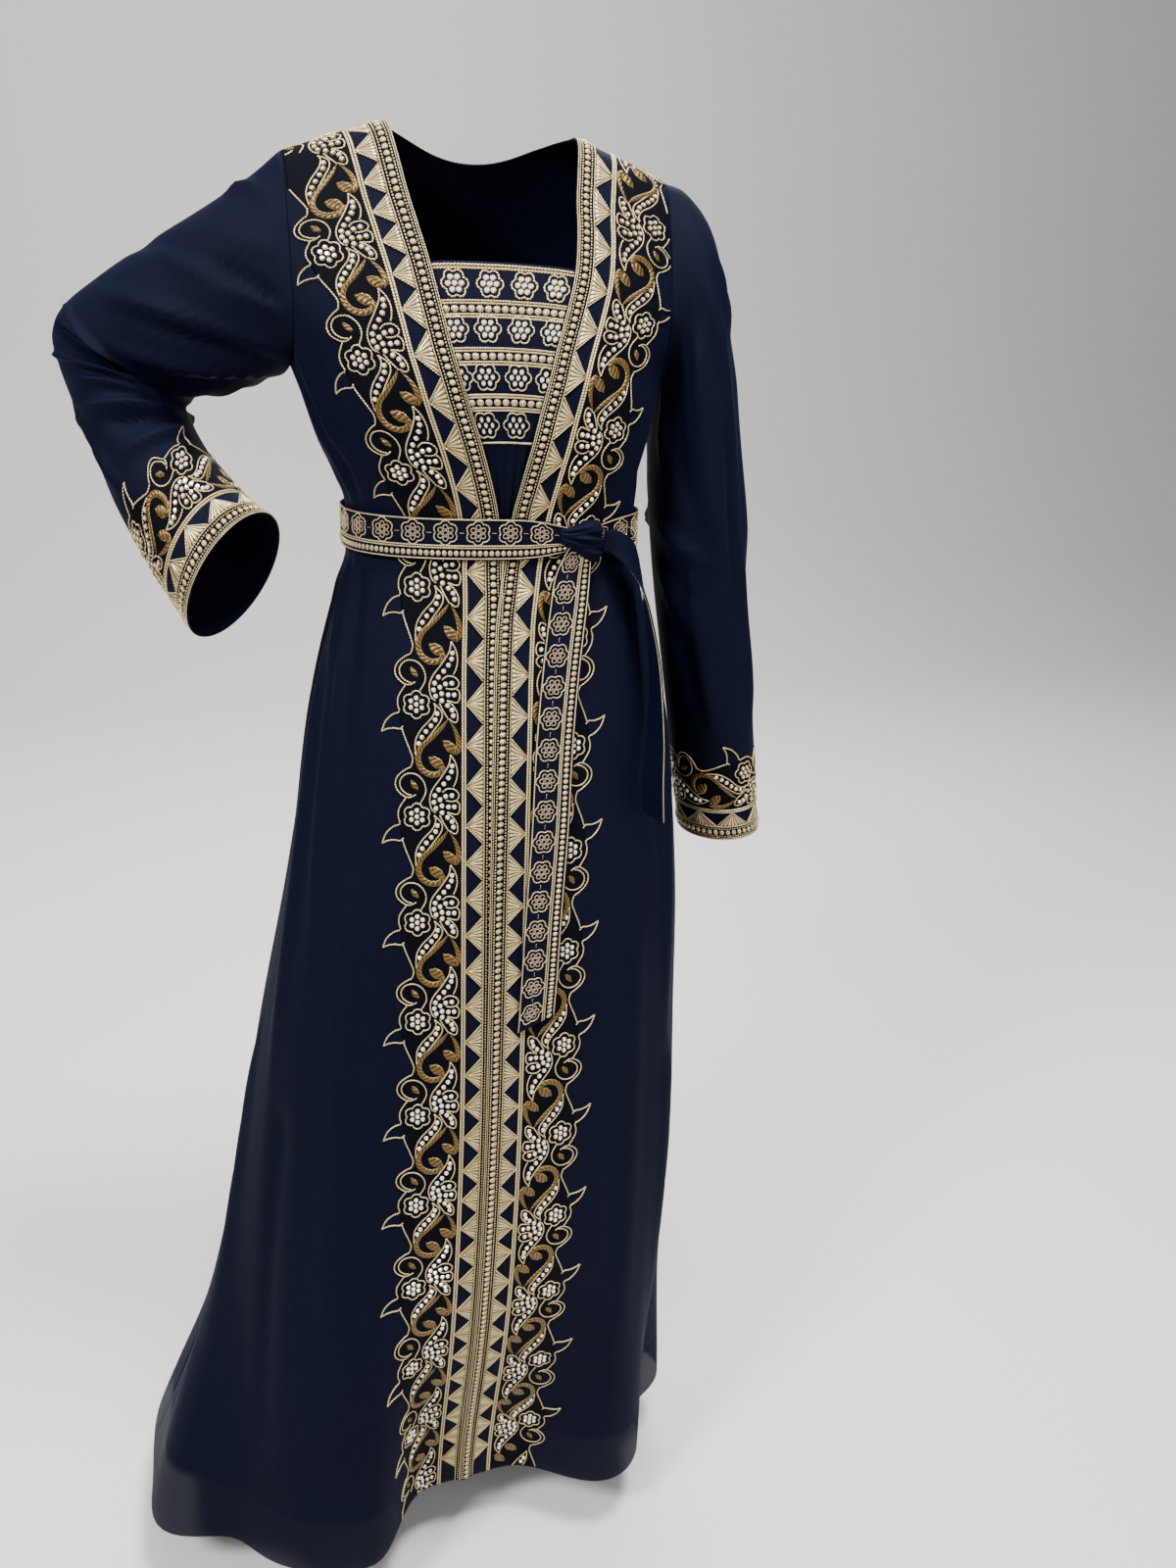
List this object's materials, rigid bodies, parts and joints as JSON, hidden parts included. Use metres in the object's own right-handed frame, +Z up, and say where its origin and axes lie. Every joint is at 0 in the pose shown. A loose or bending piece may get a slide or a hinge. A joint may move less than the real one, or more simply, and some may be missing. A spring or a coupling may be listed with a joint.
{
  "type": "abaya with tie belt",
  "caption": "Long-sleeved open-front abaya in worn form, with an embroidered front edge, square-necked inset, embroidered cuffs and a knotted tie belt.",
  "frame": {"origin": "middle of the shoulder line, where the wearer's shoulders hold the garment up", "axes": "+Z up, the front faces -Y, the wearer's right is -X"},
  "size_m": [0.7185, 0.4336, 1.4179],
  "materials": {
    "cloth": "woven georgette, matt with a faint sheen",
    "tape": "corded and beaded embroidery in pale gold thread",
    "belt": "woven cloth, embroidered on one side"
  },
  "bodies": {
    "root": {"back_panel_upper": "cloth", "back_panel_lower": "cloth", "front_panel_right": "cloth", "front_panel_left": "cloth", "chest_panel": "cloth", "sleeve_right": "cloth", "sleeve_left": "cloth", "front_tape_right": "tape", "front_tape_left": "tape", "neck_tape": "tape", "cuff_tape_right": "tape", "cuff_tape_left": "tape", "belt_loop": "belt", "belt_knot": "belt", "belt_end_long": "belt", "belt_end_short": "belt"}
  },
  "joints": []
}
